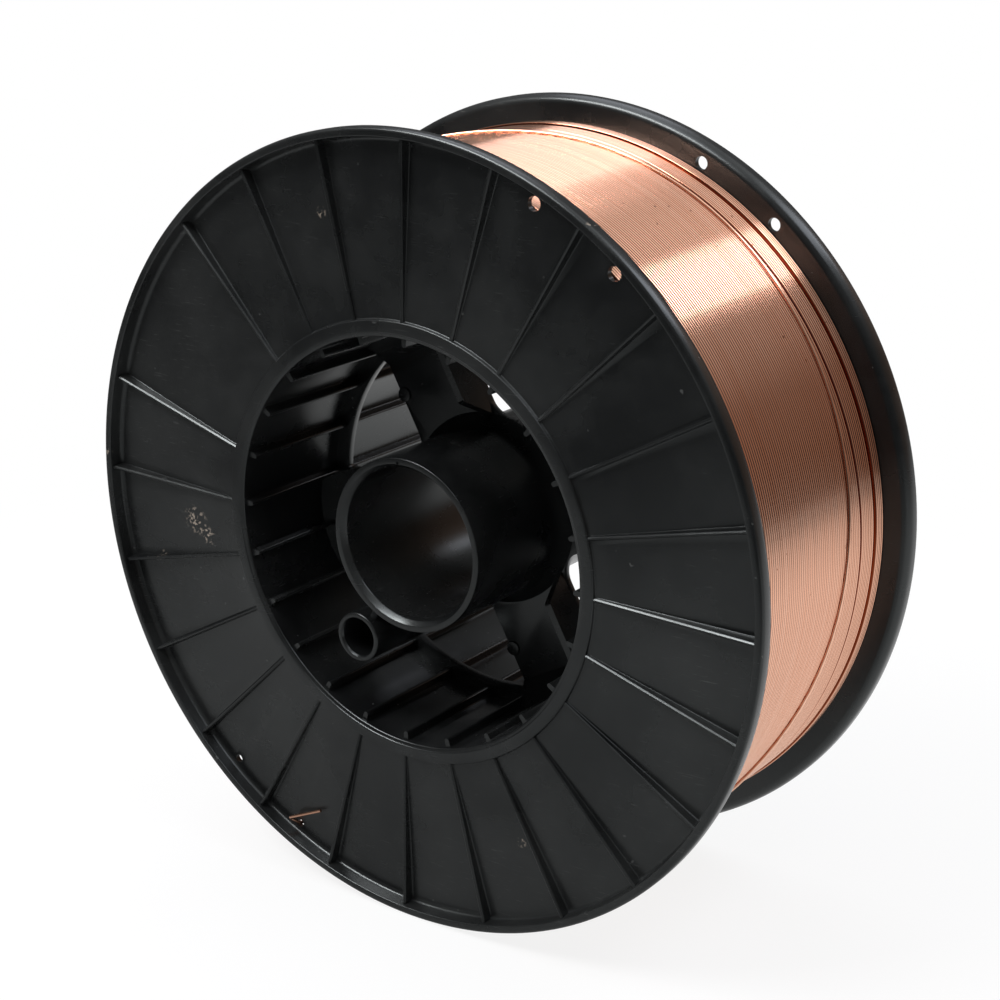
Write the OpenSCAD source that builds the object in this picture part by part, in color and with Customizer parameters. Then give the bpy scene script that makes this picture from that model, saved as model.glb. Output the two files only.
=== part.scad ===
// Welding wire spool, 270 mm class, full of copper coated wire.
// A black moulded spool with ribbed flanges, and the coil wound on it.
// Built about its own axis, then laid so that the axis is level along Y
// and both rims stand on Z = 0, as in the photograph. The front faces -Y.

/* [Overall] */
// Diameter over the rims, mm
spool_dia = 270; // [200:1:320]
// Width over the two rims, mm
spool_width = 103; // [70:1:140]

/* [Flanges] */
// Radial width of the raised lip around a flange, mm
lip_width = 3; // [2:0.1:6]
// Depth of the flange face behind the lip, mm
dish_depth = 5.2; // [3:0.1:8]
// Thickness of the flange plate at its rim, mm
plate_t = 1.8; // [1.2:0.1:4]
// Depth of the raised ring around the opening behind the rim plane, mm
ring_inset = 1.1; // [0.4:0.1:3]
// Height of the raised ring over the flange face, mm
ring_height = 1.2; // [0.4:0.1:3]
// Radial width of the raised ring, mm
ring_width = 5.7; // [3:0.1:10]
// Width of the bevel on the rim edges and the opening, mm
edge_bevel = 0.7; // [0.2:0.1:1.5]

/* [Flange ribs] */
// Number of rib positions around a flange
rib_count = 24; // [8:1:36]
// Angle of the first rib, degrees
rib_start = 13; // [0:0.5:45]
// Position in the ring where the moulding has no rib
rib_left_out = 9; // [0:1:35]
// Thickness of a rib, mm
rib_t = 1.5; // [1:0.1:3]
// Depth of the rib tops behind the rim plane, mm
rib_inset = 1.2; // [0.4:0.1:3]

/* [Tie holes] */
// Diameter of a wire tie hole, mm
tie_dia = 4.6; // [2:0.1:8]
// Distance from the rim to the middle of a tie hole, mm
tie_inset = 7; // [6:0.5:12]

/* [Barrel] */
// Inside diameter of the barrel, mm
barrel_bore = 138.8; // [100:0.2:180]
// Thickness of the barrel wall, mm
barrel_wall = 3.2; // [2:0.1:8]
// Height of the ribs inside the barrel, mm
inner_rib_h = 3; // [1:0.1:6]
// Thickness of the ribs inside the barrel, mm
inner_rib_t = 1.6; // [1:0.1:3]
// Depth of the inner rib ends behind the rim plane, mm
inner_rib_inset = 2.8; // [1.5:0.1:10]

/* [Web] */
// Thickness of the web across the middle of the barrel, mm
web_t = 3; // [2:0.1:6]
// Radial width of the web left along the barrel, mm
web_rim = 5; // [3:0.1:10]
// Radial width of the web left around the hub, mm
web_collar = 4.4; // [2:0.1:10]
// Height of the cone between the collar and the hub, mm
collar_h = 5; // [1:0.1:10]
// Width of the four arms of the web, mm
arm_width = 34.8; // [10:0.2:44]
// Angle of the first pair of arms, degrees
arm_angle = 118; // [0:1:180]
// Angle of the second pair of arms, degrees
side_arm_angle = 13; // [0:1:180]
// Length of the gusset where an arm meets the barrel, mm
gusset_l = 10.5; // [2:0.5:14]
// Height of that gusset over the web, mm
gusset_h = 10.5; // [2:0.5:14]
// Size of the corner fill between an arm and the collar, mm
corner_fill = 4.5; // [1:0.1:6]
// Height of the stiffening walls over the middle plane, mm
wall_h = 13.5; // [4:0.5:30]
// Thickness of the stiffening walls, mm
wall_t = 2.5; // [1.5:0.1:5]
// Diameter of the round ejector pads on the arms, mm
pad_dia = 5.2; // [3:0.1:8]
// Distance from the spool axis to a pad, mm
pad_radius = 51; // [40:0.5:60]
// Height of a pad over the web, mm
pad_h = 0.6; // [0.3:0.1:2]

/* [Hub] */
// Bore for the spindle, mm
hub_bore = 52; // [48:0.1:54]
// Thickness of the hub wall, mm
hub_wall = 3.6; // [2:0.1:6]
// Depth of the hub mouths behind the rim plane, mm
hub_inset = 2.8; // [1:0.1:10]
// Width of the bevel at the hub mouths, mm
hub_bevel = 1.2; // [0.4:0.1:2]

/* [Drive tube] */
// Bore for the drive pin, mm
drive_bore = 13.2; // [10:0.1:15]
// Thickness of the drive tube wall, mm
drive_wall = 2.1; // [1.5:0.1:4]
// Distance from the spool axis to the drive tube, mm
drive_radius = 44.5; // [42:0.1:48]
// Angle of the drive tube, degrees
drive_angle = 238; // [0:1:360]
// Depth of the drive tube mouths behind the rim plane, mm
drive_inset = 4.7; // [1:0.1:10]
// Thickness of the fin between the hub and the drive tube, mm
fin_t = 2.4; // [1.5:0.1:5]
// Depth of the fin's ends behind the drive tube's mouths, mm
fin_inset = 3; // [1:0.1:10]

/* [Wire] */
// Diameter of the wire, mm
wire_dia = 1.2; // [0.6:0.1:2.4]
// Depth of the full layers of wire below the rim, mm
coil_depth = 10.8; // [9:0.2:40]
// Width of the band beside the rear flange where the last layer is missing, mm
short_band = 5; // [1:0.5:20]
// Clearance between the coil and the spool, mm
coil_gap = 0.3; // [0.1:0.1:1]
// Angle of the hole where the wire's outer end comes out, degrees
tail_angle = 245.5; // [0:0.5:360]
// Length of the bent over wire end in front of the flange, mm
tail_length = 11; // [4:0.5:20]
// Turn of the bent over end from the outward direction, degrees
tail_turn = 138; // [90:1:180]

/* [Hidden] */
$fn = 96;
rim_r = spool_dia / 2;
half = spool_width / 2;
lip_r = rim_r - lip_width;
open_r = barrel_bore / 2;
ring_r = open_r + ring_width;
barrel_r = open_r + barrel_wall;
plate_back = half - dish_depth - plate_t;
ring_face = half - ring_inset;
hub_r = hub_bore / 2 + hub_wall;
hub_end = half - hub_inset;
drive_r = drive_bore / 2 + drive_wall;
drive_end = half - drive_inset;
overlap = 0.5;
rib_step = 360 / rib_count;
arms = [side_arm_angle, arm_angle, side_arm_angle + 180, arm_angle + 180];
pad_along = sqrt(pow(pad_radius, 2) - pow(arm_width / 2, 2));
tie_radius = rim_r - tie_inset;
tie_offset = rib_step / 2;
tie_angles = [drive_angle - tie_offset, drive_angle + tie_offset,
    drive_angle + 180 - tie_offset, drive_angle + 180 + tie_offset];
coil_r = rim_r - coil_depth;
coil_end = plate_back - coil_gap;
wire_r = wire_dia / 2;
over = 1;

black = [0.08, 0.085, 0.085];
copper = [0.72, 0.45, 0.34];

spool();
wire_coil();

module laid() {
    translate([0, 0, rim_r]) rotate([90, 0, 0]) children();
}

module spool() {
    color(black) laid() difference() {
        union() {
            shell();
            flange_ribs();
            mirror([0, 0, 1]) flange_ribs();
            inner_ribs();
            web();
            hub();
            drive_tube();
        }
        hub_hole();
        drive_place() cylinder(d = drive_bore, h = spool_width + over, center = true);
        for (a = tie_angles) rotate([0, 0, a]) translate([tie_radius, 0, 0])
            cylinder(d = tie_dia, h = spool_width + over, center = true, $fn = 24);
    }
}

// Both flanges and the barrel between them, turned in one piece
module shell() {
    front = [
        [barrel_r, plate_back],
        [rim_r - edge_bevel, plate_back],
        [rim_r, plate_back + edge_bevel],
        [rim_r, half - edge_bevel],
        [rim_r - edge_bevel, half],
        [lip_r, half],
        [lip_r - edge_bevel, half - dish_depth],
        [ring_r, ring_face - ring_height],
        [ring_r - edge_bevel, ring_face],
        [open_r + 2 * edge_bevel, ring_face],
        [open_r, ring_face - edge_bevel]
    ];
    last = len(front) - 1;
    rotate_extrude($fn = 144)
        polygon(concat(front, [for (i = [0 : last]) [front[last - i][0], -front[last - i][1]]]));
}

module flange_ribs() {
    for (i = [0 : rib_count - 1])
        if (i != rib_left_out) rotate([0, 0, rib_start + i * rib_step]) flange_rib();
}

module flange_rib() {
    rotate([90, 0, 0]) linear_extrude(height = rib_t, center = true) polygon([
        [ring_r - overlap, ring_face - ring_height - overlap],
        [lip_r + overlap, half - dish_depth - overlap],
        [lip_r + overlap, half - rib_inset],
        [ring_r - overlap, ring_face - overlap / 2]
    ]);
}

module inner_ribs() {
    length = spool_width - 2 * inner_rib_inset;
    for (i = [0 : rib_count - 1]) rotate([0, 0, rib_start + i * rib_step])
        translate([open_r - inner_rib_h, -inner_rib_t / 2, -length / 2])
            cube([inner_rib_h + barrel_wall / 2, inner_rib_t, length]);
}

// Middle web: a disc with four windows, which leave a rim, a collar and four arms
module web() {
    difference() {
        cylinder(r = open_r + overlap, h = web_t, center = true, $fn = 144);
        for (i = [0 : 3]) window(arms[i], i < 3 ? arms[i + 1] : arms[0] + 360);
    }
    for (a = arms) rotate([0, 0, a]) arm_ends();
    rotate([0, 0, arm_angle]) {
        for (s = [0, 1]) mirror([s, 0, 0]) {
            side_wall();
            translate([pad_along, arm_width / 2 - pad_dia / 4, 0])
                cylinder(d = pad_dia, h = web_t + 2 * pad_h, center = true, $fn = 24);
        }
    }
}

// Opening between two arms, from the collar to the rim
module window(from, to) {
    spread = (to - from) / 2;
    tip = arm_width / 2 / sin(spread);
    side = rim_r * [cos(spread), sin(spread)];
    intersection() {
        difference() {
            cylinder(r = open_r - web_rim, h = web_t + over, center = true, $fn = 144);
            cylinder(r = hub_r + web_collar, h = web_t + 2 * over, center = true);
        }
        rotate([0, 0, (from + to) / 2]) linear_extrude(height = web_t + 2 * over, center = true)
            polygon([[tip, 0], [tip + side[0], -side[1]], [tip + side[0], side[1]]]);
    }
}

// What an arm gains at its two ends: a gusset to the barrel and filled corners at the collar
module arm_ends() {
    reach = open_r + overlap;
    collar_r = hub_r + web_collar;
    rotate([90, 0, 0]) linear_extrude(height = arm_width, center = true) polygon([
        [reach - gusset_l, web_t / 4], [reach, web_t / 2 + gusset_h],
        [reach, -web_t / 2 - gusset_h], [reach - gusset_l, -web_t / 4]]);
    root = sqrt(pow(collar_r, 2) - pow(arm_width / 2, 2));
    for (s = [0, 1]) mirror([0, s, 0]) linear_extrude(height = web_t, center = true) polygon([
        [root - corner_fill, arm_width / 2 - corner_fill], [root + corner_fill + 2 * overlap, arm_width / 2],
        [root - corner_fill - overlap, arm_width / 2 + corner_fill]]);
}

module side_wall() {
    start = sqrt(pow(hub_r - hub_wall / 4, 2) - pow(arm_width / 2, 2));
    translate([start, -arm_width / 2, -wall_h]) cube([open_r - start, wall_t, 2 * wall_h]);
}

module hub() {
    cylinder(r = hub_r, h = 2 * hub_end, center = true);
    for (s = [0, 1]) mirror([0, 0, s]) translate([0, 0, web_t / 4])
        cylinder(r1 = hub_r + web_collar, r2 = hub_r - overlap, h = web_t / 4 + collar_h);
}

module hub_hole() {
    cylinder(d = hub_bore, h = spool_width + over, center = true);
    for (s = [0, 1]) mirror([0, 0, s]) translate([0, 0, hub_end - hub_bevel])
        cylinder(d1 = hub_bore, d2 = hub_bore + 4 * hub_bevel, h = 2 * hub_bevel);
}

module drive_place() {
    rotate([0, 0, drive_angle]) translate([drive_radius, 0, 0]) children();
}

module drive_tube() {
    drive_place() cylinder(r = drive_r, h = 2 * drive_end, center = true, $fn = 48);
    rotate([0, 0, drive_angle]) translate([hub_r - hub_wall / 2, -fin_t / 2, -drive_end + fin_inset])
        cube([drive_radius - drive_r - hub_r + (hub_wall + drive_wall) / 2, fin_t,
            2 * (drive_end - fin_inset)]);
}

// The winding, its bore on the barrel, with the last layer stopped short of the rear flange
module wire_coil() {
    color(copper) laid() {
        difference() {
            union() {
                translate([0, 0, -coil_end]) cylinder(r = coil_r, h = 2 * coil_end, $fn = 144);
                translate([0, 0, short_band - coil_end])
                    cylinder(r = coil_r + wire_dia, h = 2 * coil_end - short_band, $fn = 144);
            }
            cylinder(r = barrel_r + coil_gap, h = spool_width, center = true, $fn = 144);
        }
        tail();
    }
}

// The wire's outer end: up from the last layer, out through a tie hole and bent over
module tail() {
    lift = tie_radius - coil_r - wire_r;
    front = half - dish_depth + 2 * wire_dia;
    rotate([0, 0, tail_angle]) {
        translate([coil_r + wire_r, 0, plate_back - 2 * wire_dia]) rotate([0, 90, 0])
            cylinder(r = wire_r, h = lift, $fn = 16);
        translate([tie_radius, 0, plate_back - 2 * wire_dia]) {
            sphere(r = wire_r, $fn = 16);
            cylinder(r = wire_r, h = front - plate_back + 2 * wire_dia, $fn = 16);
        }
        translate([tie_radius, 0, front]) {
            sphere(r = wire_r, $fn = 16);
            rotate([0, 90, tail_turn]) cylinder(r = wire_r, h = tail_length, $fn = 16);
        }
    }
}
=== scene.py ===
import math
import random
import time

import bmesh
import bpy
from mathutils import Matrix, Vector


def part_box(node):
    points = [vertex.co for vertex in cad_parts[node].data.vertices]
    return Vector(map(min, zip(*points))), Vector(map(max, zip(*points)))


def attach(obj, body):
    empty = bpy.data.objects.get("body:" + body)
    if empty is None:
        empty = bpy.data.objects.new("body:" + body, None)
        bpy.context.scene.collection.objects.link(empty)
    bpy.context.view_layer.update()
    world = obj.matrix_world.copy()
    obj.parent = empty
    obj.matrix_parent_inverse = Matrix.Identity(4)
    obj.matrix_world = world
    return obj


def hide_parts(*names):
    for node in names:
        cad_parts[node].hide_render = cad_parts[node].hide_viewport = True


startTime = time.time()
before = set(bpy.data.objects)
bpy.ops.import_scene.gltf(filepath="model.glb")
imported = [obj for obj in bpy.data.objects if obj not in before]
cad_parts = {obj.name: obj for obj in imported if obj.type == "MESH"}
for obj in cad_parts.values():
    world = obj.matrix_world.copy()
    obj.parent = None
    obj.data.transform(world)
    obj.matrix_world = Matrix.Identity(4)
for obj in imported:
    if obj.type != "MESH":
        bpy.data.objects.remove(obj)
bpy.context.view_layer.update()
random.seed(27)

# Everything is drawn in millimetres about the spool's own axis, front towards +Z,
# and layDown then puts it where the CAD spool stands, in metres.
spoolLow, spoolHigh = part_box("spool")
rimRadius = (spoolHigh.x - spoolLow.x) * 500
halfWidth = (spoolHigh.y - spoolLow.y) * 500
upright = Matrix.Rotation(math.radians(90), 4, "X")
layDown = Matrix.Translation((0, 0, rimRadius / 1000)) @ upright @ Matrix.Scale(0.001, 4)

overlap = 0.5  # how deep a part reaches into what it joins
over = 1.0  # how far a cutter stands out of what it cuts


def report(stage):
    print(f"{time.time() - startTime:6.1f} s  {stage}")


report(f"frame with {len(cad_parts)} nodes")

# Mesh helpers


def polar(radius, degrees, height=0.0):
    angle = math.radians(degrees)
    return Vector((radius * math.cos(angle), radius * math.sin(angle), height))


def arc(centre, radius, start, end, steps):
    return [centre + polar(radius, start + (end - start) * i / steps) for i in range(steps + 1)]


def roundedPath(corners, closed=False, steps=4):
    # Each corner is (x, y) or (x, y, radius), and a radius puts an arc there
    path = []
    count = len(corners)
    for i, corner in enumerate(corners):
        here = Vector(corner[:2])
        inner = closed or 0 < i < count - 1
        if len(corner) < 3 or not inner:
            path.append(here)
            continue
        toLast = Vector(corners[i - 1][:2]) - here
        toNext = Vector(corners[(i + 1) % count][:2]) - here
        half = toLast.angle(toNext) / 2
        reach = min(corner[2] / math.tan(half), toLast.length * 0.48, toNext.length * 0.48)
        begin = here + toLast.normalized() * reach
        end = here + toNext.normalized() * reach
        middle = here + (toLast.normalized() + toNext.normalized()).normalized() * reach / math.cos(half)
        first = begin - middle
        turn = first.angle_signed(end - middle)
        for k in range(steps + 1):
            angle = -turn * k / steps
            path.append(middle + Matrix.Rotation(angle, 2) @ first)
    return path


def bothSides(corners):
    # The corners of one half, then those of its mirror image, back to the start
    return corners + [(x, -y, *rounding) for x, y, *rounding in reversed(corners)]


def revolve(corners, segments, closed=True):
    # The path is (radius, height) and turns once about Z
    bm = bmesh.new()
    path = roundedPath(corners, closed)
    verts = [bm.verts.new((p.x, 0, p.y)) for p in path]
    pairs = list(zip(verts, verts[1:]))
    if closed:
        pairs.append((verts[-1], verts[0]))
    edges = [bm.edges.new(pair) for pair in pairs]
    bmesh.ops.spin(bm, geom=verts + edges, cent=(0, 0, 0), axis=(0, 0, 1), angle=math.tau,
                   steps=segments, use_merge=True)
    return tidy(bm)


def prism(outline, low, high):
    # A flat outline in XY, raised along Z
    bm = bmesh.new()
    face = bm.faces.new([bm.verts.new((p.x, p.y, low)) for p in outline])
    raised = bmesh.ops.extrude_face_region(bm, geom=[face])["geom"]
    bmesh.ops.translate(bm, verts=[v for v in raised if isinstance(v, bmesh.types.BMVert)],
                        vec=(0, 0, high - low))
    return tidy(bm)


def loft(near, far):
    # A solid between two outlines of as many points
    bm = bmesh.new()
    face = bm.faces.new([bm.verts.new(p) for p in near])
    raised = bmesh.ops.extrude_face_region(bm, geom=[face])["geom"]
    top = [f for f in raised if isinstance(f, bmesh.types.BMFace)][0]
    moved = {v.co.to_tuple(4): v for v in top.verts}
    for start, end in zip(near, far):
        moved[Vector(start).to_tuple(4)].co = end
    return tidy(bm)


def tidy(bm):
    bmesh.ops.remove_doubles(bm, verts=bm.verts, dist=1e-4)
    bmesh.ops.recalc_face_normals(bm, faces=bm.faces)
    return bm


def roundEdges(bm, edges, offset):
    bmesh.ops.bevel(bm, geom=edges, offset=offset, offset_type="OFFSET", segments=2, profile=0.5,
                    affect="EDGES", material=-1, clamp_overlap=True)
    return bm


def place(bm, matrix):
    bmesh.ops.transform(bm, matrix=matrix, verts=bm.verts)
    if matrix.determinant() < 0:
        bmesh.ops.reverse_faces(bm, faces=bm.faces)
    return bm


def spinPlace(degrees, x=0.0, y=0.0, z=0.0):
    return Matrix.Rotation(math.radians(degrees), 4, "Z") @ Matrix.Translation((x, y, z))


def addObject(name, data):
    made = bpy.data.objects.new(name, data)
    bpy.context.scene.collection.objects.link(made)
    return made


def newObject(name, parts):
    # Joins the bmeshes into one object
    mesh = bpy.data.meshes.new(name)
    whole = bmesh.new()
    for bm in parts:
        bm.to_mesh(mesh)
        whole.from_mesh(mesh)
        bm.free()
    whole.to_mesh(mesh)
    whole.free()
    return addObject(name, mesh)


def combine(piece, parts, operation):
    # Adds or cuts the parts, which may not overlap each other
    tool = newObject("tool", parts)
    modifier = piece.modifiers.new("combine", "BOOLEAN")
    modifier.object = tool
    modifier.operation = operation
    modifier.solver = "MANIFOLD"
    settle(piece)
    bpy.data.objects.remove(tool)


def settle(piece):
    # Applies the piece's modifiers
    bpy.context.view_layer.update()
    evaluated = piece.evaluated_get(bpy.context.evaluated_depsgraph_get())
    mesh = bpy.data.meshes.new_from_object(evaluated)
    piece.modifiers.clear()
    old = piece.data
    piece.data = mesh
    bpy.data.meshes.remove(old)


def finishPiece(piece, node, material, sharpAngle):
    piece.data.transform(layDown)
    piece.data.shade_smooth()
    piece.data.set_sharp_from_angle(angle=math.radians(sharpAngle))
    piece.data.materials.clear()
    piece.data.materials.append(material)
    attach(piece, "root")
    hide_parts(node)
    report(f"{piece.name}: {sum(len(p.vertices) - 2 for p in piece.data.polygons)} triangles")


# Material helpers


def newMaterial(name):
    material = bpy.data.materials.new(name)
    material.use_nodes = True
    tree = material.node_tree
    return material, tree, tree.nodes["Principled BSDF"]


def addNode(tree, kind, inputs=None, **settings):
    made = tree.nodes.new("ShaderNode" + kind)
    for key, value in settings.items():
        setattr(made, key, value)
    for key, value in (inputs or {}).items():
        setInput(tree, made.inputs[key], value)
    return made


def setInput(tree, socket, value):
    if isinstance(value, bpy.types.NodeSocket):
        tree.links.new(value, socket)
    else:
        socket.default_value = value


def addMath(tree, operation, first, second=0.0, clamp=False):
    return addNode(tree, "Math", {0: first, 1: second}, operation=operation, use_clamp=clamp).outputs[0]


def addNoise(tree, vector, scale, detail=3.0, roughness=0.5):
    return addNode(tree, "TexNoise", {"Vector": vector, "Scale": scale, "Detail": detail,
                                      "Roughness": roughness}).outputs["Fac"]


def addRange(tree, value, low, high, toLow=0.0, toHigh=1.0):
    return addNode(tree, "MapRange", {"Value": value, "From Min": low, "From Max": high,
                                      "To Min": toLow, "To Max": toHigh}).outputs["Result"]


def addMix(tree, factor, first, second):
    # From the first colour to the second: a Mix node has its colours at 6 and 7, and their result at 2
    return addNode(tree, "Mix", {0: factor, 6: first, 7: second}, data_type="RGBA").outputs[2]


def addBlend(tree, factor, first, second):
    # From the first number to the second
    return addNode(tree, "Mix", {0: factor, 2: first, 3: second}, data_type="FLOAT").outputs[0]


# Black moulded plastic, with the scuffs and chips of the real one

plasticFinish = {
    "base": (0.0045, 0.0048, 0.005, 1),
    "worn": (0.06, 0.062, 0.06, 1),
    "chipped": (0.24, 0.2, 0.16, 1),
    "shine": (0.94, 1, 1, 1),
    # a range is: noise from, noise to, and where there are four numbers, value from, value to
    "roughness": (0.3, 0.7, 0.2, 0.32),
    "wornRoughness": 0.15,
    "mottleScale": 16.0,
    "mottle": (0.4, 0.8, 0, 0.3),
    # three directions of scratches: turn in radians, then the noise between which they show
    "streaks": ((0.75, 0.68, 0.78), (-0.95, 0.69, 0.78), (2.3, 0.7, 0.8)),
    "streakScale": 75.0,
    "streakStretch": (2, 3, 30),
    "streakWear": 0.6,
    "streakPatches": (0.42, 0.62),
    "dustScale": 420.0,
    "dust": (0.78, 0.82, 0, 0.7),
    # chips on the front face: x, z and radius in metres
    "chips": (
        (-0.0945, 0.1263, 0.0062), (-0.0890, 0.1215, 0.0040), (-0.1120, 0.1095, 0.0022),
        (-0.0305, 0.2408, 0.0022), (0.0743, 0.2485, 0.0014), (0.0444, 0.0401, 0.0022),
        (-0.1327, 0.1457, 0.0014),
    ),
    "chipCore": 0.4,
    "chipScale": 900.0,
    "chipEdge": (0.54, 0.64),
    "chipFront": (-0.042, -0.044),
    "grainScale": 1500.0,
    "grainDepth": 0.00002,
    "grainStrength": 0.4,
}


def plasticChips(tree, place3d):
    # Broken patches, on the front face only
    finish = plasticFinish
    broken = addRange(tree, addNoise(tree, place3d, finish["chipScale"], 2.0), *finish["chipEdge"])
    front = addRange(tree, addNode(tree, "SeparateXYZ", {0: place3d}).outputs["Y"], *finish["chipFront"])
    flat = addNode(tree, "VectorMath", {0: place3d, 1: (1, 0, 1)}, operation="MULTIPLY").outputs[0]
    chips = 0.0
    for x, z, radius in finish["chips"]:
        away = addNode(tree, "VectorMath", {0: flat, 1: (x, 0, z)}, operation="DISTANCE").outputs["Value"]
        chips = addMath(tree, "ADD", addRange(tree, away, radius, radius * finish["chipCore"]), chips, True)
    return addMath(tree, "MULTIPLY", addMath(tree, "MULTIPLY", chips, broken), front)


def plasticMaterial():
    finish = plasticFinish
    material, tree, shader = newMaterial("blackPlastic")
    place3d = addNode(tree, "TexCoord").outputs["Object"]
    mottle = addNoise(tree, place3d, finish["mottleScale"], 5.0, 0.6)
    patches = addRange(tree, mottle, *finish["streakPatches"])
    wear = addRange(tree, mottle, *finish["mottle"])
    for turn, low, high in finish["streaks"]:
        # Fine scratches, each set in its own direction across the flange
        turned = addNode(tree, "Mapping", {"Vector": place3d, "Rotation": (0, turn, 0),
                                           "Scale": finish["streakStretch"]}).outputs["Vector"]
        lines = addNoise(tree, turned, finish["streakScale"], 2.0)
        streak = addRange(tree, lines, low, high, 0, finish["streakWear"])
        wear = addMath(tree, "ADD", wear, addMath(tree, "MULTIPLY", streak, patches))
    specks = addNoise(tree, place3d, finish["dustScale"], 1.0)
    wear = addMath(tree, "ADD", wear, addRange(tree, specks, *finish["dust"]), True)
    colour = addMix(tree, wear, finish["base"], finish["worn"])
    colour = addMix(tree, plasticChips(tree, place3d), colour, finish["chipped"])
    roughness = addMath(tree, "ADD", addRange(tree, mottle, *finish["roughness"]),
                        addMath(tree, "MULTIPLY", wear, finish["wornRoughness"]))
    grain = addNoise(tree, place3d, finish["grainScale"], 2.0)
    bump = addNode(tree, "Bump", {"Height": grain, "Distance": finish["grainDepth"],
                                  "Strength": finish["grainStrength"]})
    setInput(tree, shader.inputs["Base Color"], colour)
    setInput(tree, shader.inputs["Roughness"], roughness)
    setInput(tree, shader.inputs["Normal"], bump.outputs["Normal"])
    setInput(tree, shader.inputs["Specular Tint"], finish["shine"])
    return material


# Copper coated wire, with painted shade in the furrows between the turns, which are darker and redder there

copperFinish = {
    "crest": (0.88, 0.515, 0.37, 1),
    "tarnish": (0.83, 0.45, 0.305, 1),
    # the colour of the painted shade down in the furrows
    "furrowShade": (0.26, 0.05, 0.015, 1),
    "speck": (0.3, 0.13, 0.07, 1),
    # the noise is drawn out along the wire, and its ranges are as in the plastic
    "stretch": (8, 830, 8),
    "roughness": (0.3, 0.7, 0.1, 0.125),
    "tarnished": (0.35, 0.75),
    "speckScale": 420.0,
    "specks": (0.77, 0.8, 0, 0.7),
}


def copperMaterial():
    finish = copperFinish
    material, tree, shader = newMaterial("copperCoat")
    place3d = addNode(tree, "TexCoord").outputs["Object"]
    alongWire = addNode(tree, "Mapping", {"Vector": place3d, "Scale": finish["stretch"]}).outputs["Vector"]
    streak = addNoise(tree, alongWire, 1.0, 2.0)
    specks = addRange(tree, addNoise(tree, place3d, finish["speckScale"], 1.0), *finish["specks"])
    # painted shade, darker and redder, in the furrows between the turns and on the slot floors; its weight
    # comes with the winding
    depth = addNode(tree, "Attribute", attribute_name="furrowShade").outputs["Fac"]
    colour = addMix(tree, addRange(tree, streak, *finish["tarnished"]), finish["crest"], finish["tarnish"])
    colour = addMix(tree, specks, colour, finish["speck"])
    colour = addMix(tree, depth, colour, finish["furrowShade"])
    setInput(tree, shader.inputs["Base Color"], colour)
    setInput(tree, shader.inputs["Roughness"], addRange(tree, streak, *finish["roughness"]))
    setInput(tree, shader.inputs["Metallic"], 1.0)
    return material


plastic = plasticMaterial()
copper = copperMaterial()
report("materials")

# Flanges and barrel, turned in one piece

shell = {
    "lipWidth": 3.0, "lipDraft": 0.5, "lipRound": 0.5, "rimRound": 1.45, "rimBack": 3.2,
    "dishDepth": 5.2, "plateThickness": 1.8, "footRound": 1.6,
    "ringInset": 1.1, "ringHeight": 1.2, "ringWidth": 5.7, "ringDraft": 0.4, "ringRound": 0.5,
    "barrelBore": 69.4, "barrelWall": 3.2, "barrelRound": 1.5,
    # the opening's edge: how far outside the bore, how far below the ring's face, rounding
    "mouth": ((1.5, 0, 0.3), (1.3, 0.3, 0.2), (0, 0.5, 0.7)),
    "segments": 288, "sharpAngle": 35,
}
lipRadius = rimRadius - shell["lipWidth"]
plateFront = halfWidth - shell["dishDepth"]
plateBack = plateFront - shell["plateThickness"]
ringFace = halfWidth - shell["ringInset"]
ringFoot = ringFace - shell["ringHeight"]
ringRadius = shell["barrelBore"] + shell["ringWidth"]
barrelRadius = shell["barrelBore"] + shell["barrelWall"]


def shellPart():
    front = [
        (barrelRadius, plateBack, shell["barrelRound"]),
        (rimRadius, plateBack, shell["rimBack"]),
        (rimRadius, halfWidth, shell["rimRound"]),
        (lipRadius, halfWidth, shell["lipRound"]),
        (lipRadius - shell["lipDraft"], plateFront, shell["footRound"]),
        (ringRadius, ringFoot, shell["ringRound"]),
        (ringRadius - shell["ringDraft"], ringFace, shell["ringRound"]),
    ]
    front += [(shell["barrelBore"] + further, ringFace - lower, rounding)
              for further, lower, rounding in shell["mouth"]]
    return revolve(bothSides(front), shell["segments"])


# Ribs of the flanges, on a foot that flares out over the plate

ribFoot = {"spread": 2.2, "dip": 0.02, "steps": 3}
flangeRib = {
    "count": 24, "first": 13.0, "leftOut": 9, "tipHalf": 0.62, "baseHalf": 0.8, "chamfer": 0.46,
    "tipRound": 0.1, "flare": 0.7, "inset": 1.2, "ringInset": 0.25, "sink": 0.3, "intoRing": 0.3,
    "intoLip": 0.4,
}
ribAngles = [flangeRib["first"] + 360 / flangeRib["count"] * i for i in range(flangeRib["count"])]


def ribSection(height):
    # The points are (height, distance from the rib's middle)
    rib = flangeRib
    flare = min(rib["flare"], height / 2)
    return roundedPath(bothSides([
        (-rib["sink"], rib["baseHalf"] + ribFoot["spread"] * flare),
        (-ribFoot["dip"], rib["baseHalf"], flare),
        (height - rib["chamfer"], rib["tipHalf"], rib["tipRound"]),
        (height, rib["tipHalf"] - rib["chamfer"], rib["tipRound"]),
    ]), closed=True, steps=ribFoot["steps"])


def flangeRibParts():
    rib = flangeRib
    nearSection = ribSection(ringFace - rib["ringInset"] - ringFoot)
    farSection = ribSection(halfWidth - rib["inset"] - plateFront)
    near = [(ringRadius - rib["intoRing"], p.y, ringFoot + p.x) for p in nearSection]
    far = [(lipRadius + rib["intoLip"], p.y, plateFront + p.x) for p in farSection]
    parts = []
    for i, degrees in enumerate(ribAngles):
        if i == rib["leftOut"]:
            continue
        for flip in (1, -1):
            parts.append(place(loft(near, far), Matrix.Diagonal((1, 1, flip, 1)) @ spinPlace(degrees)))
    return parts


# Ribs inside the barrel

barrelRib = {"height": 3.0, "tipHalf": 0.75, "baseHalf": 0.95, "tipRound": 0.7, "flare": 1.0, "inset": 2.8}


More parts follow.
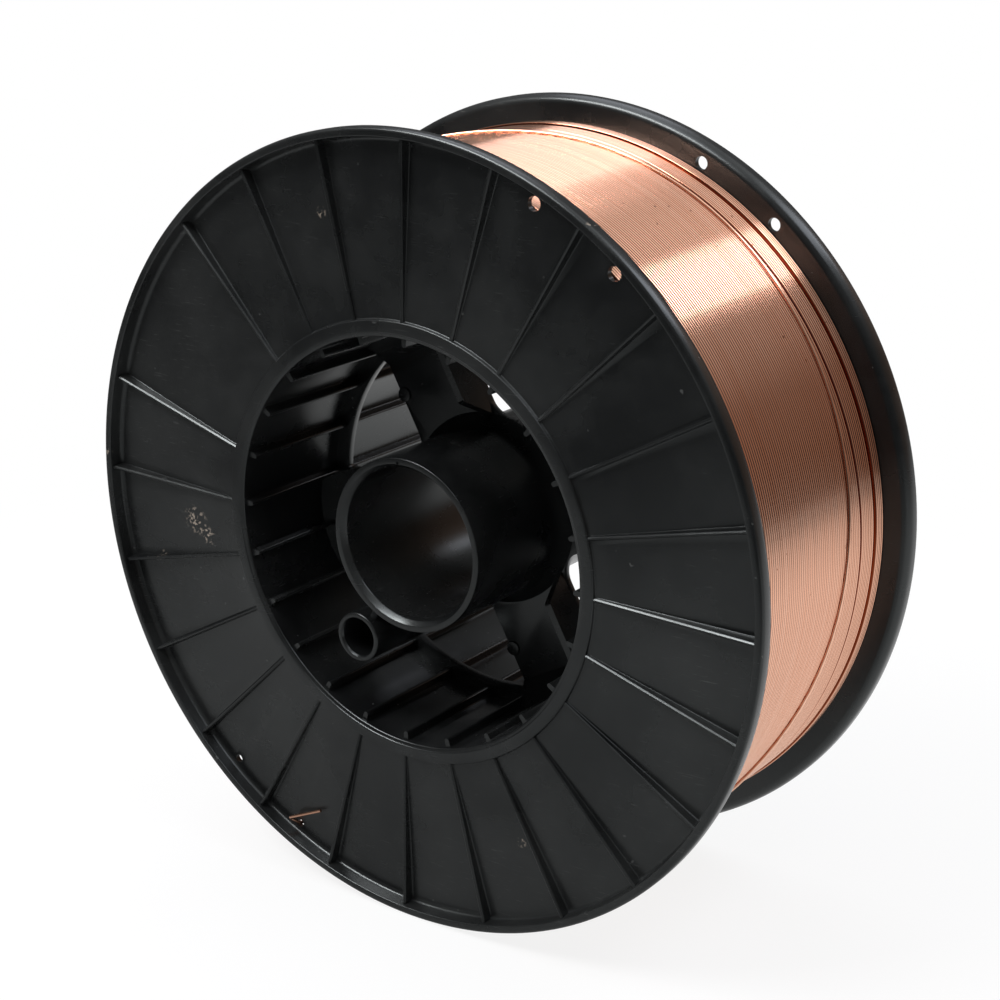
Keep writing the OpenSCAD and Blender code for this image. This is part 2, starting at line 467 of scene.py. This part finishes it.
def barrelRibParts():
    rib = barrelRib
    bore = shell["barrelBore"]
    outline = roundedPath(bothSides([
        (bore + overlap, rib["baseHalf"] + ribFoot["spread"] * rib["flare"]),
        (bore + ribFoot["dip"], rib["baseHalf"], rib["flare"]),
        (bore - rib["height"], rib["tipHalf"], rib["tipRound"]),
    ]), closed=True, steps=ribFoot["steps"])
    reach = halfWidth - rib["inset"]
    return [place(prism(outline, -reach, reach), spinPlace(a)) for a in ribAngles]


# Middle web with its arms, gussets, side walls and pads

web = {
    "thickness": 3.0, "innerRadius": 28.0, "rimRadius": 64.4, "collarRadius": 34.0, "segments": 192,
    "armHalf": 17.4, "armAngles": (13, 118), "collarFillet": 8.0, "rimFillet": 1.2, "cornerSteps": 6,
    "edgeSteps": 16, "edgeAngle": 69, "edgeBevel": 0.5, "gusset": 10.5,
    "wallHeight": 13.5, "wallThickness": 2.5, "wallStart": 29.0, "wallSlant": 36.5, "wallRound": 1.5,
    "wallFoot": 0.2,
    "padRadius": 51.0, "padDiameter": 5.2, "padHeight": 0.6, "padRound": 0.3, "padSegments": 32,
}


def windowCorner(armAngle, side, radius, outwards, fillet):
    # The arc between an arm's edge and the round edge, from the arm to the round edge
    offset = web["armHalf"] + fillet
    centreRadius = radius - fillet * outwards
    along = math.sqrt(centreRadius ** 2 - offset ** 2)
    lean = math.degrees(math.atan2(offset, along))
    start = -90.0
    end = lean if outwards > 0 else lean - 180.0
    points = arc(Vector((along, offset, 0)), fillet, start, end, web["cornerSteps"])
    mirrored = [Vector((p.x, p.y * side, 0)) for p in points]
    return [spinPlace(armAngle) @ p for p in mirrored]


def windowOutline(fromAngle, toAngle):
    outer = web["rimRadius"]
    inner = web["collarRadius"]
    first = windowCorner(fromAngle, 1, outer, 1, web["rimFillet"])
    second = windowCorner(toAngle, -1, outer, 1, web["rimFillet"])[::-1]
    third = windowCorner(toAngle, -1, inner, -1, web["collarFillet"])
    fourth = windowCorner(fromAngle, 1, inner, -1, web["collarFillet"])[::-1]
    outerEdge = between(first[-1], second[0], outer)
    innerEdge = between(third[-1], fourth[0], inner)
    return first + outerEdge + second + third + innerEdge + fourth


def between(start, end, radius):
    # Points on the round edge, without its two ends
    fromAngle = math.degrees(math.atan2(start.y, start.x))
    turn = math.degrees(math.atan2(end.y, end.x)) - fromAngle
    turn = (turn + 180) % 360 - 180
    return arc(Vector((0, 0, 0)), radius, fromAngle, fromAngle + turn, web["edgeSteps"])[1:-1]


def windowEdges(bm):
    # The sharp edges around the windows, on both faces of the web
    close = 0.01
    face = web["thickness"] / 2 - close
    inner = web["innerRadius"] + over
    outer = shell["barrelBore"] - over
    edges = []
    for edge in bm.edges:
        start, end = [v.co for v in edge.verts]
        sharp = len(edge.link_faces) == 2 and edge.calc_face_angle(0) > math.radians(web["edgeAngle"])
        around = all(inner < p.xy.length < outer for p in (start, end))
        onFace = abs(start.z) > face and abs(end.z) > face and abs(start.z - end.z) < close
        if sharp and around and onFace:
            edges.append(edge)
    return edges


def gusset(armAngle):
    # Both sides of the web, where an arm runs into the barrel
    size = web["gusset"]
    half = web["thickness"] / 2
    reach = shell["barrelBore"] + overlap
    outline = roundedPath(bothSides([
        (reach - size - overlap, half / 2), (reach, half + size), (reach + overlap, half + size),
    ]))
    return place(prism(outline, -web["armHalf"], web["armHalf"]), spinPlace(armAngle) @ upright)


def sideWall(armAngle, flip):
    # Along the same edge of the arm and of the one opposite, in front of the web
    foot = web["thickness"] / 2
    low = web["wallFoot"] - foot
    reach = shell["barrelBore"] + overlap
    outline = roundedPath([
        (web["wallStart"], low), (reach, low), (reach, web["wallHeight"]),
        (web["wallSlant"], web["wallHeight"], web["wallRound"]), (web["wallStart"], foot),
    ])
    bm = prism(outline, web["armHalf"] - web["wallThickness"], web["armHalf"])
    return place(bm, spinPlace(armAngle) @ Matrix.Diagonal((flip, 1, 1, 1)) @ upright)


def padPart(armAngle, side):
    # A round ejector pad, which stands out on both faces of the web
    radius = web["padDiameter"] / 2
    top = web["thickness"] / 2 + web["padHeight"]
    along = math.sqrt(web["padRadius"] ** 2 - web["armHalf"] ** 2)
    bm = revolve(bothSides([(0, top), (radius, top, web["padRound"])]), web["padSegments"], closed=False)
    return place(bm, spinPlace(armAngle, along * side, web["armHalf"] - radius / 2))


def addWeb(piece):
    half = web["thickness"] / 2
    longArm = web["armAngles"][1]
    angles = [a + turn for turn in (0, 180) for a in web["armAngles"]]
    rim = shell["barrelBore"] + 2 * overlap
    disc = revolve(bothSides([(web["innerRadius"], half), (rim, half)]), web["segments"])
    body = newObject("web", [disc])
    windows = [prism(windowOutline(a, b), -half - over, half + over)
               for a, b in zip(angles, angles[1:] + [angles[0] + 360])]
    combine(body, windows, "DIFFERENCE")
    bm = bmesh.new()
    bm.from_mesh(body.data)
    bpy.data.objects.remove(body)
    bmesh.ops.dissolve_limit(bm, angle_limit=math.radians(0.5), verts=bm.verts, edges=bm.edges)
    combine(piece, [roundEdges(bm, windowEdges(bm), web["edgeBevel"])], "UNION")
    combine(piece, [gusset(a) for a in angles], "UNION")
    for flip in (1, -1):
        combine(piece, [sideWall(longArm, flip)], "UNION")
    combine(piece, [padPart(longArm, side) for side in (1, -1)], "UNION")


# Hub, drive tube and the fin between them

hub = {
    "bore": 26.0, "wall": 3.6, "inset": 2.8, "round": 0.35, "edge": 1.6, "edgeRound": 0.25,
    "taper": 2.0, "taperRound": 1.5, "coneRadius": 34.0, "coneHeight": 5.0, "coneFoot": 0.9,
    "flare": 7.5, "notchAngle": 93.5, "notch": (1.4, 1.6, 1.1), "segments": 128,
}
drive = {
    "bore": 6.6, "wall": 2.1, "inset": 4.7, "round": 0.6, "edge": 0.5, "edgeRound": 0.25,
    "taper": 0.8, "taperRound": 0.3, "radius": 44.5, "angle": 238.0, "finThickness": 2.4,
    "finInset": 3.0, "finRoot": 0.6, "segments": 48,
}


def tubePath(tube):
    # A tube about its own axis, its bore widening at both mouths
    mouth = halfWidth - tube["inset"]
    return bothSides([
        (tube["bore"] + tube["wall"], mouth, tube["round"]),
        (tube["bore"] + tube["edge"], mouth, tube["edgeRound"]),
        (tube["bore"], mouth - tube["taper"], tube["taperRound"]),
    ])


def hubPart():
    # The tube and the cones that flare out to the web's collar
    foot = web["thickness"] / 2
    cones = bothSides([
        (hub["bore"] + hub["wall"], -foot - hub["coneHeight"], hub["flare"]),
        (hub["coneRadius"], -foot * hub["coneFoot"]),
    ])
    return revolve(tubePath(hub) + cones, hub["segments"])


def hubNotch():
    width, length, depth = hub["notch"]
    bm = bmesh.new()
    bmesh.ops.create_cube(bm, size=1)
    place(bm, Matrix.Diagonal((length, width, depth, 1)))
    return place(bm, spinPlace(hub["notchAngle"], hub["bore"] + hub["edge"], 0, halfWidth - hub["inset"]))


def drivePart():
    return place(revolve(tubePath(drive), drive["segments"]), spinPlace(drive["angle"], drive["radius"]))


def finPart():
    half = drive["finThickness"] / 2
    start = hub["bore"] + hub["wall"] * drive["finRoot"]
    end = drive["radius"] - drive["bore"] - drive["wall"] * drive["finRoot"]
    outline = roundedPath(bothSides([(start, half), (end, half)]))
    reach = halfWidth - drive["inset"] - drive["finInset"]
    return place(prism(outline, -reach, reach), spinPlace(drive["angle"]))


# Tie holes near the rims

tie = {
    "inset": 7.0, "segments": 32,
    # side (1 is the front), angle, how much further from the axis than the inset says, diameter
    "holes": ((1, 50.9, -1.0, 4.6), (1, 66.0, -0.8, 4.6), (1, 229.9, 0.5, 3.2), (1, 244.9, 0.5, 3.2),
              (-1, 50.4, 0.5, 4.6), (-1, 65.1, 0.5, 4.6), (-1, 230.5, 0, 4.6), (-1, 245.5, 0, 4.6)),
}


def tieCutters():
    parts = []
    for side, degrees, further, diameter in tie["holes"]:
        outline = arc(Vector((0, 0, 0)), diameter / 2, 0, 360, tie["segments"])[:-1]
        parts.append(place(prism(outline, side * (plateBack - over), side * (halfWidth + over)),
                           spinPlace(degrees, rimRadius - tie["inset"] + further)))
    return parts


def buildSpool():
    piece = newObject("spoolMoulding", [shellPart()])
    combine(piece, flangeRibParts(), "UNION")
    combine(piece, barrelRibParts(), "UNION")
    addWeb(piece)
    for part in (hubPart, drivePart, finPart):
        combine(piece, [part()], "UNION")
    combine(piece, tieCutters() + [hubNotch()], "DIFFERENCE")
    finishPiece(piece, "spool", plastic, shell["sharpAngle"])


# The winding: every turn of the last layer is a round ridge of its own

winding = {
    "wire": 1.2, "depth": 10.8, "gap": 0.3, "turns": 72, "jitter": 0.006, "segments": 216,
    "sharpAngle": 60,
    # the points of a ridge, by their angle from its crest, and where the painted shade of its furrow begins
    # and is deepest
    "ridge": (-80, -50, -17, 17, 50, 80), "furrowShade": (30, 80),
    # where two turns parted: depth behind the front face, width, and the share of it where the floor lies
    "slots": ((80.9, 1.05), (90.4, 0.75)), "slotFloor": (0.35, 0.65),
    # how much higher the last turns ride, at the rear flange
    "raised": 0.75,
}
wireRadius = winding["wire"] / 2
underRadius = rimRadius - winding["depth"]
layerTop = underRadius + winding["wire"]
coilEnd = plateBack - winding["gap"]


def windingPath():
    # (radius, height, painted furrow shade) from the front flange to the rear one, turn by turn
    foot = barrelRadius + winding["gap"]
    floor = underRadius - wireRadius
    shallow, deep = winding["furrowShade"]
    slots = list(winding["slots"])
    pitch = (2 * coilEnd - sum(width for _, width in slots)) / winding["turns"]
    path = [(foot, coilEnd, 1.0)]
    edge = coilEnd
    for i in range(winding["turns"]):
        if slots and halfWidth - edge > slots[0][0] - pitch:
            width = slots.pop(0)[1]
            # the floor of a slot lies fully in painted shade
            path += [(floor, edge - width * share, 1.0) for share in winding["slotFloor"]]
            edge -= width
        centre = layerTop - wireRadius + random.uniform(-1, 1) * winding["jitter"]
        if not slots:
            centre += winding["raised"]
        for angle in winding["ridge"]:
            bulge = polar(wireRadius, angle)
            furrowShade = max(0.0, (abs(angle) - shallow) / (deep - shallow))
            path.append((centre + bulge.x, edge - pitch / 2 - bulge.y, furrowShade))
        edge -= pitch
    return path + [(foot, -coilEnd, 1.0)]


def buildWinding():
    bm = bmesh.new()
    furrowShadeLayer = bm.verts.layers.float.new("furrowShade")
    verts = []
    for radius, height, furrowShade in windingPath():
        vert = bm.verts.new((radius, 0, height))
        vert[furrowShadeLayer] = furrowShade
        verts.append(vert)
    edges = [bm.edges.new(pair) for pair in zip(verts, verts[1:] + verts[:1])]
    bmesh.ops.spin(bm, geom=verts + edges, cent=(0, 0, 0), axis=(0, 0, 1), angle=math.tau,
                   steps=winding["segments"], use_merge=True)
    piece = newObject("wireWinding", [tidy(bm)])
    finishPiece(piece, "wire_coil", copper, winding["sharpAngle"])


# The loose last turn lies askew over the coil, comes out through a tie hole and is bent over

wireEnd = {
    # which tie hole, and how far behind and before the plate's back the wire runs straight there
    "hole": 3, "through": (-0.8, 2.0),
    "elbow": (-56.4, -113.1, 50.0), "end": (-42.6, -107.3, 48.5), "bend": 1.2, "bendSteps": 4,
    # how far it lies above the last layer, and over how many degrees it rises there
    "lift": 0.45, "riseOver": 30, "step": 3, "sides": 3, "sharpAngle": 50,
    # angle around the coil and depth behind the front face
    "turn": ((225, 8), (205, 8.6), (190, 11), (170, 18), (150, 28.5), (130, 41), (115, 51.5), (100, 62.5),
             (90, 69.5), (82, 73.8), (74, 76), (65, 77.4), (52, 78.1), (40, 77.5), (27, 76.2), (16, 74.4),
             (5, 72.1), (-6, 69.2), (-14, 66.6), (-23, 62.8), (-32, 57.3), (-42, 50), (-55, 41),
             (-70, 31.5), (-90, 18.8), (-104, 11), (-111, 8.6)),
}


def smoothBetween(knots, position):
    # The value of a smooth line through the knots, whose places fall
    for i in range(len(knots) - 1):
        if knots[i + 1][0] <= position <= knots[i][0]:
            before, after = knots[max(i - 1, 0)], knots[min(i + 2, len(knots) - 1)]
            near, far = knots[i], knots[i + 1]
            span = far[0] - near[0]
            t = (position - near[0]) / span
            leave = (far[1] - before[1]) / (far[0] - before[0]) * span
            arrive = (after[1] - near[1]) / (after[0] - near[0]) * span
            return ((2 * t ** 3 - 3 * t ** 2 + 1) * near[1] + (t ** 3 - 2 * t ** 2 + t) * leave
                    + (3 * t ** 2 - 2 * t ** 3) * far[1] + (t ** 3 - t ** 2) * arrive)
    return knots[-1][1]


def looseTurn():
    knots = wireEnd["turn"]
    points = []
    angle = knots[0][0]
    while angle >= knots[-1][0]:
        risen = min(1.0, (knots[0][0] - angle) / wireEnd["riseOver"])
        radius = layerTop - wireRadius + risen * (wireRadius + wireEnd["lift"])
        points.append(polar(radius, angle, halfWidth - smoothBetween(knots, angle)))
        angle -= wireEnd["step"]
    return points


def wireEndPath():
    # The loose turn, then out through the hole and over, with a small arc at every bend
    degrees, further = tie["holes"][wireEnd["hole"]][1:3]
    hole = polar(rimRadius - tie["inset"] + further, degrees, plateBack)
    bends = [hole + Vector((0, 0, height)) for height in wireEnd["through"]] + [Vector(wireEnd["elbow"])]
    end = Vector(wireEnd["end"])
    steps = wireEnd["bendSteps"]
    path = looseTurn()
    for here, after in zip(bends, bends[1:] + [end]):
        toLast = (path[-1] - here).normalized() * wireEnd["bend"]
        toNext = (after - here).normalized() * wireEnd["bend"]
        path += [here + toLast * (1 - k / steps) ** 2 + toNext * (k / steps) ** 2 for k in range(steps + 1)]
    return path + [end]


def buildWireEnd():
    path = wireEndPath()
    curve = bpy.data.curves.new("wireEnd", "CURVE")
    curve.dimensions = "3D"
    curve.bevel_depth = wireRadius
    curve.bevel_resolution = wireEnd["sides"]
    curve.use_fill_caps = True
    spline = curve.splines.new("POLY")
    spline.points.add(len(path) - 1)
    for target, point in zip(spline.points, path):
        target.co = (*point, 1)
    drawn = addObject("wireEndCurve", curve)
    bpy.context.view_layer.update()
    mesh = bpy.data.meshes.new_from_object(drawn.evaluated_get(bpy.context.evaluated_depsgraph_get()))
    bpy.data.objects.remove(drawn)
    piece = addObject("wireEnd", mesh)
    finishPiece(piece, "wire_coil", copper, wireEnd["sharpAngle"])


# Camera, floor and soft light, all in metres

view = {"place": (0.4025, -0.5339, 0.3562), "pitch": 18.87, "yaw": 33.61, "lens": 73.69, "sensor": 36,
        "shift": (-0.110, 0.026), "nearest": 0.01}


def buildCamera():
    data = bpy.data.cameras.new("camera")
    data.lens = view["lens"]
    data.sensor_width = view["sensor"]
    data.shift_x, data.shift_y = view["shift"]
    data.clip_start = view["nearest"]
    camera = addObject("camera", data)
    camera.location = view["place"]
    camera.rotation_euler = (math.radians(90 - view["pitch"]), 0, math.radians(view["yaw"]))
    bpy.context.scene.camera = camera


def raysFrom(tree):
    # Camera rays, and the rays that a shiny surface mirrors or a clear one lets through
    path = addNode(tree, "LightPath").outputs
    mirrored = addMath(tree, "MAXIMUM", path["Is Glossy Ray"], path["Is Transmission Ray"])
    return path["Is Camera Ray"], mirrored


floorLook = {
    "radius": 3.0, "segments": 96, "colour": (0.8, 0.8, 0.8, 1), "roughness": 0.9,
    # how much of it is plain white for the camera, at the object and beyond it
    "white": (0.12, 0.5, 0.86, 1.0),
    # what mirrored rays see, a painted glow with a painted shadow of the spool near it: from and to which
    # distance it changes, and its levels there
    "shade": (0.1, 0.28, 0.34, 0.565), "front": (0.28, 0.7, 1.0, 0.17), "rear": (0.42, 1.5, 1.0, 0.35),
    # the way to the rear and right, and from and to how far along it the rear takes over
    "towards": (0.6, 0.8, 0), "rearFrom": (-0.02, 0.12),
}


def buildFloor():
    bm = bmesh.new()
    bmesh.ops.create_circle(bm, cap_ends=True, segments=floorLook["segments"], radius=floorLook["radius"])
    floor = newObject("floor", [bm])
    material, tree, shader = newMaterial("paleFloor")
    setInput(tree, shader.inputs["Base Color"], floorLook["colour"])
    setInput(tree, shader.inputs["Roughness"], floorLook["roughness"])
    setInput(tree, shader.inputs["Specular IOR Level"], 0.0)
    here = addNode(tree, "TexCoord").outputs["Object"]
    away = addNode(tree, "VectorMath", {0: here}, operation="LENGTH").outputs["Value"]
    along = addNode(tree, "VectorMath", {0: here, 1: floorLook["towards"]}, operation="DOT_PRODUCT")
    white, shade, front, rear = [addRange(tree, away, *floorLook[part])
                                 for part in ("white", "shade", "front", "rear")]
    seen, mirrored = raysFrom(tree)
    factor = addMath(tree, "ADD", addMath(tree, "MULTIPLY", seen, white), mirrored, True)
    side = addRange(tree, along.outputs["Value"], *floorLook["rearFrom"])
    # the glow that mirrored rays see is painted: darker near the spool in front as a painted shadow,
    # brighter towards the rear
    dim = addBlend(tree, side, addMath(tree, "MULTIPLY", front, shade), rear)
    strength = addMath(tree, "ADD", addMath(tree, "MULTIPLY", mirrored, dim), seen)
    glow = addNode(tree, "Emission", {"Color": (1, 1, 1, 1), "Strength": strength}).outputs[0]
    mixed = addNode(tree, "MixShader", {0: factor, 1: shader.outputs[0], 2: glow}).outputs[0]
    setInput(tree, tree.nodes["Material Output"].inputs["Surface"], mixed)
    floor.data.materials.append(material)


studio = {
    # the level by the height of the direction: from, to, and the levels there
    "wall": (0.12, 0.45, 0.06, 0.2), "ceiling": (0.7, 0.88, 0, 0.68),
    # the wall on the right goes by the angle above the horizon, and is darker and warmer at its foot
    "rightFrom": 26, "rightTo": 49, "right": (0.28, 0.56), "warm": (1, 0.68, 0.52, 1), "cool": (0.6, 0.4),
    # where that wall begins and is full, across and along
    "across": (0.05, 0.25), "along": (-0.35, 0.05),
}


def buildWorld():
    # The camera sees plain white, and everything else the studio
    world = bpy.data.worlds.new("studio")
    bpy.context.scene.world = world
    world.use_nodes = True
    tree = world.node_tree
    background = tree.nodes["Background"]
    away = addNode(tree, "TexCoord").outputs["Generated"]
    across, along, up = addNode(tree, "SeparateXYZ", {0: away}).outputs
    angles = math.radians(studio["rightFrom"]), math.radians(studio["rightTo"])
    right = addRange(tree, addMath(tree, "ARCTAN2", up, across), *angles, *studio["right"])
    side = addMath(tree, "MULTIPLY", addRange(tree, across, *studio["across"]),
                   addRange(tree, along, *studio["along"]))
    level = addBlend(tree, side, addRange(tree, up, *studio["wall"]), right)
    level = addMath(tree, "ADD", level, addRange(tree, up, *studio["ceiling"]))
    seen = raysFrom(tree)[0]
    warmth = addMath(tree, "MULTIPLY", side, addRange(tree, up, *studio["cool"]))
    plain = addMath(tree, "MAXIMUM", addMath(tree, "SUBTRACT", 1.0, warmth), seen)
    setInput(tree, background.inputs["Strength"], addBlend(tree, seen, level, 1.0))
    setInput(tree, background.inputs["Color"], addMix(tree, plain, studio["warm"], (1, 1, 1, 1)))


# Area lamps, each as bright to look at as its glow says
lamps = {
    "overhead": {"place": (-0.46, 0.2, 1.385), "aim": (-0.46, 0.2, 0), "turn": 11, "size": (0.7, 2.3),
                 "glow": 1.9, "colour": (0.88, 0.9, 1.0)},
    "strip": {"place": (-0.4, -0.66, 1.155), "aim": (-0.05, -0.05, 0.135), "turn": 0, "size": (0.72, 0.26),
              "glow": 21, "colour": (1.0, 1.0, 1.0)},
    "right": {"place": (0.74, 0.6, 1.36), "aim": (0.08, 0.6, 0.22), "turn": 0, "size": (2.2, 0.38),
              "glow": 3.7, "colour": (0.88, 0.9, 1.0)},
}


def buildLamps():
    for name, lamp in lamps.items():
        length, width = lamp["size"]
        data = bpy.data.lights.new(name, "AREA")
        data.shape = "RECTANGLE"
        data.size = length
        data.size_y = width
        data.energy = lamp["glow"] * math.pi * length * width
        data.color = lamp["colour"]
        made = addObject(name, data)
        made.location = lamp["place"]
        aimed = (Vector(lamp["aim"]) - Vector(lamp["place"])).to_track_quat("-Z", "Y").to_matrix()
        made.rotation_euler = (aimed @ Matrix.Rotation(math.radians(lamp["turn"]), 3, "Z")).to_euler()


buildCamera()
buildFloor()
buildWorld()
buildLamps()
bpy.context.scene.view_settings.view_transform = "Standard"
report("camera, floor and lamps")
buildSpool()
buildWinding()
buildWireEnd()
